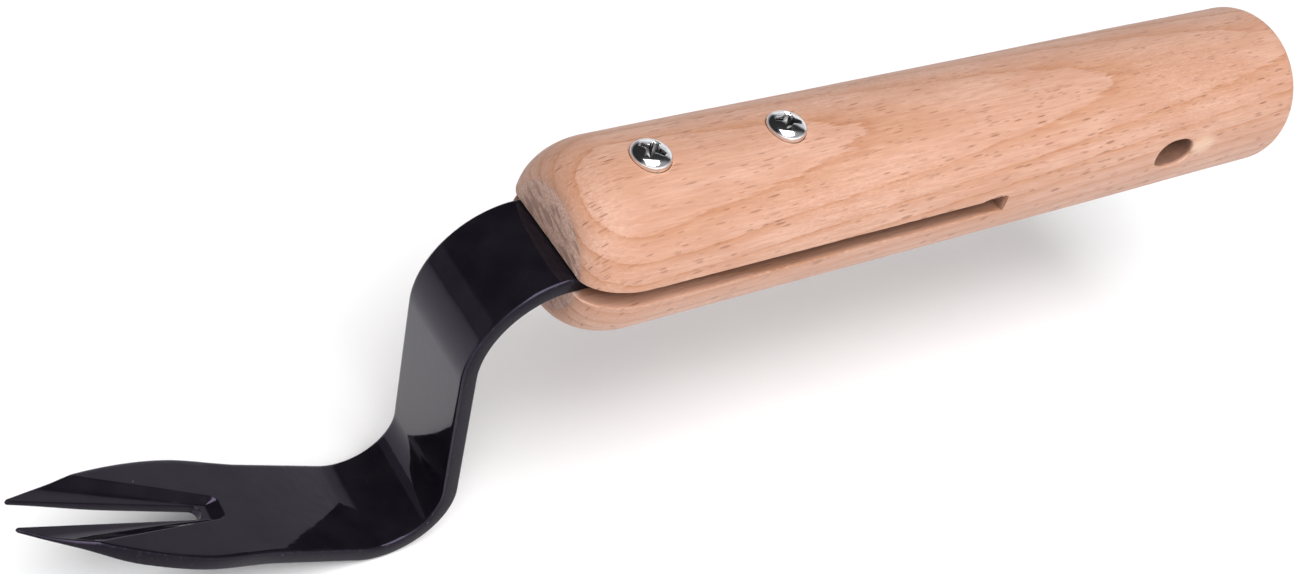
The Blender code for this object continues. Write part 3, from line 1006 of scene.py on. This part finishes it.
def build_world():
    """A dark studio: dim up to a little over the horizon, a pale wall, a soft glow in front."""
    world = bpy.data.worlds.new("studio")
    bpy.context.scene.world = world
    world.use_nodes = True
    tree = world.node_tree
    background = tree.nodes["Background"]
    coords = tree.nodes.new("ShaderNodeTexCoord")

    def lobe(direction, low, high):
        dot = tree.nodes.new("ShaderNodeVectorMath")
        dot.operation = "DOT_PRODUCT"
        tree.links.new(coords.outputs["Generated"], dot.inputs[0])
        dot.inputs[1].default_value = Vector(direction).normalized()
        ramp = tree.nodes.new("ShaderNodeMapRange")
        ramp.interpolation_type = "SMOOTHSTEP"
        ramp.inputs["From Min"].default_value = low
        ramp.inputs["From Max"].default_value = high
        tree.links.new(dot.outputs["Value"], ramp.inputs["Value"])
        return ramp.outputs["Result"]

    def combine(operation, a, b):
        node = tree.nodes.new("ShaderNodeMath")
        node.operation = operation
        for socket, value in zip(node.inputs, (a, b)):
            if isinstance(value, float):
                socket.default_value = value
            else:
                tree.links.new(value, socket)
        return node.outputs[0]

    low_band = lobe((0.0, 0.0, -1.0), -0.33, -0.25)
    wall = lobe((0.80, 0.56, 0.16), 0.80, 0.90)
    front = lobe((0.0, -1.0, 0.25), 0.15, 0.60)
    strength = combine("ADD", combine("MULTIPLY", low_band, 0.30), combine("MULTIPLY", wall, 0.70))
    strength = combine("ADD", strength, combine("MULTIPLY", front, 0.32))
    strength = combine("ADD", strength, 0.03)
    tree.links.new(strength, background.inputs["Strength"])
    background.inputs["Color"].default_value = (0.98, 0.98, 1.0, 1.0)


def build_camera():
    camera = bpy.data.cameras.new("camera")
    camera.sensor_width = SENSOR_WIDTH
    camera.lens = SENSOR_WIDTH * FOCAL_LENGTH / PHOTO_WIDTH
    camera.clip_start = 0.01
    made = bpy.data.objects.new("camera", camera)
    bpy.context.scene.collection.objects.link(made)
    right = Vector(CAMERA_RIGHT).normalized()
    ahead = Vector(CAMERA_AHEAD).normalized()
    up = right.cross(ahead).normalized()
    turn = Matrix((right, up, -ahead)).transposed()
    made.matrix_world = Matrix.Translation(CAMERA_PLACE) @ turn.to_4x4()
    bpy.context.scene.camera = made


# ---------------------------------------------------------------- put it together
def dress(piece, looks, node):
    """Give a piece its looks, and let it ride and replace its CAD node."""
    piece.data.materials.clear()
    for look in looks:
        piece.data.materials.append(look)
    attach(piece, "root")
    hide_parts(node)


build_floor()
build_world()
for light in LIGHTS:
    area_light(*light)
build_camera()
bpy.context.scene.view_settings.view_transform = "Standard"

handle = build_handle()
mark_handle(handle)
dress(handle, [beech_look()], "handle")
blade = build_blade()
face_coat = coat_look("black_gloss_coat", 0.33, 0.045)
edge_coat = coat_look("black_edge_coat", 0.13, 0.16)
dress(blade, [face_coat, edge_coat], "blade")
mark_blade(blade)
bright = nickel_look("bright_nickel", (0.74, 0.74, 0.76), (0.86, 0.86, 0.87), 0.09)
# dark, dull nickel for the cross recess: painted shade in the recess, partly also dirt
recess_shade_nickel = nickel_look("dark_recess", (0.055, 0.052, 0.052), (0.14, 0.135, 0.135), 0.30)
for name, turn in (("front_screw", 38.0), ("rear_screw", 62.0)):
    screw = build_screw(name, math.radians(turn))
    dress(screw, [bright, recess_shade_nickel], name)
    mark_screw(screw, name)
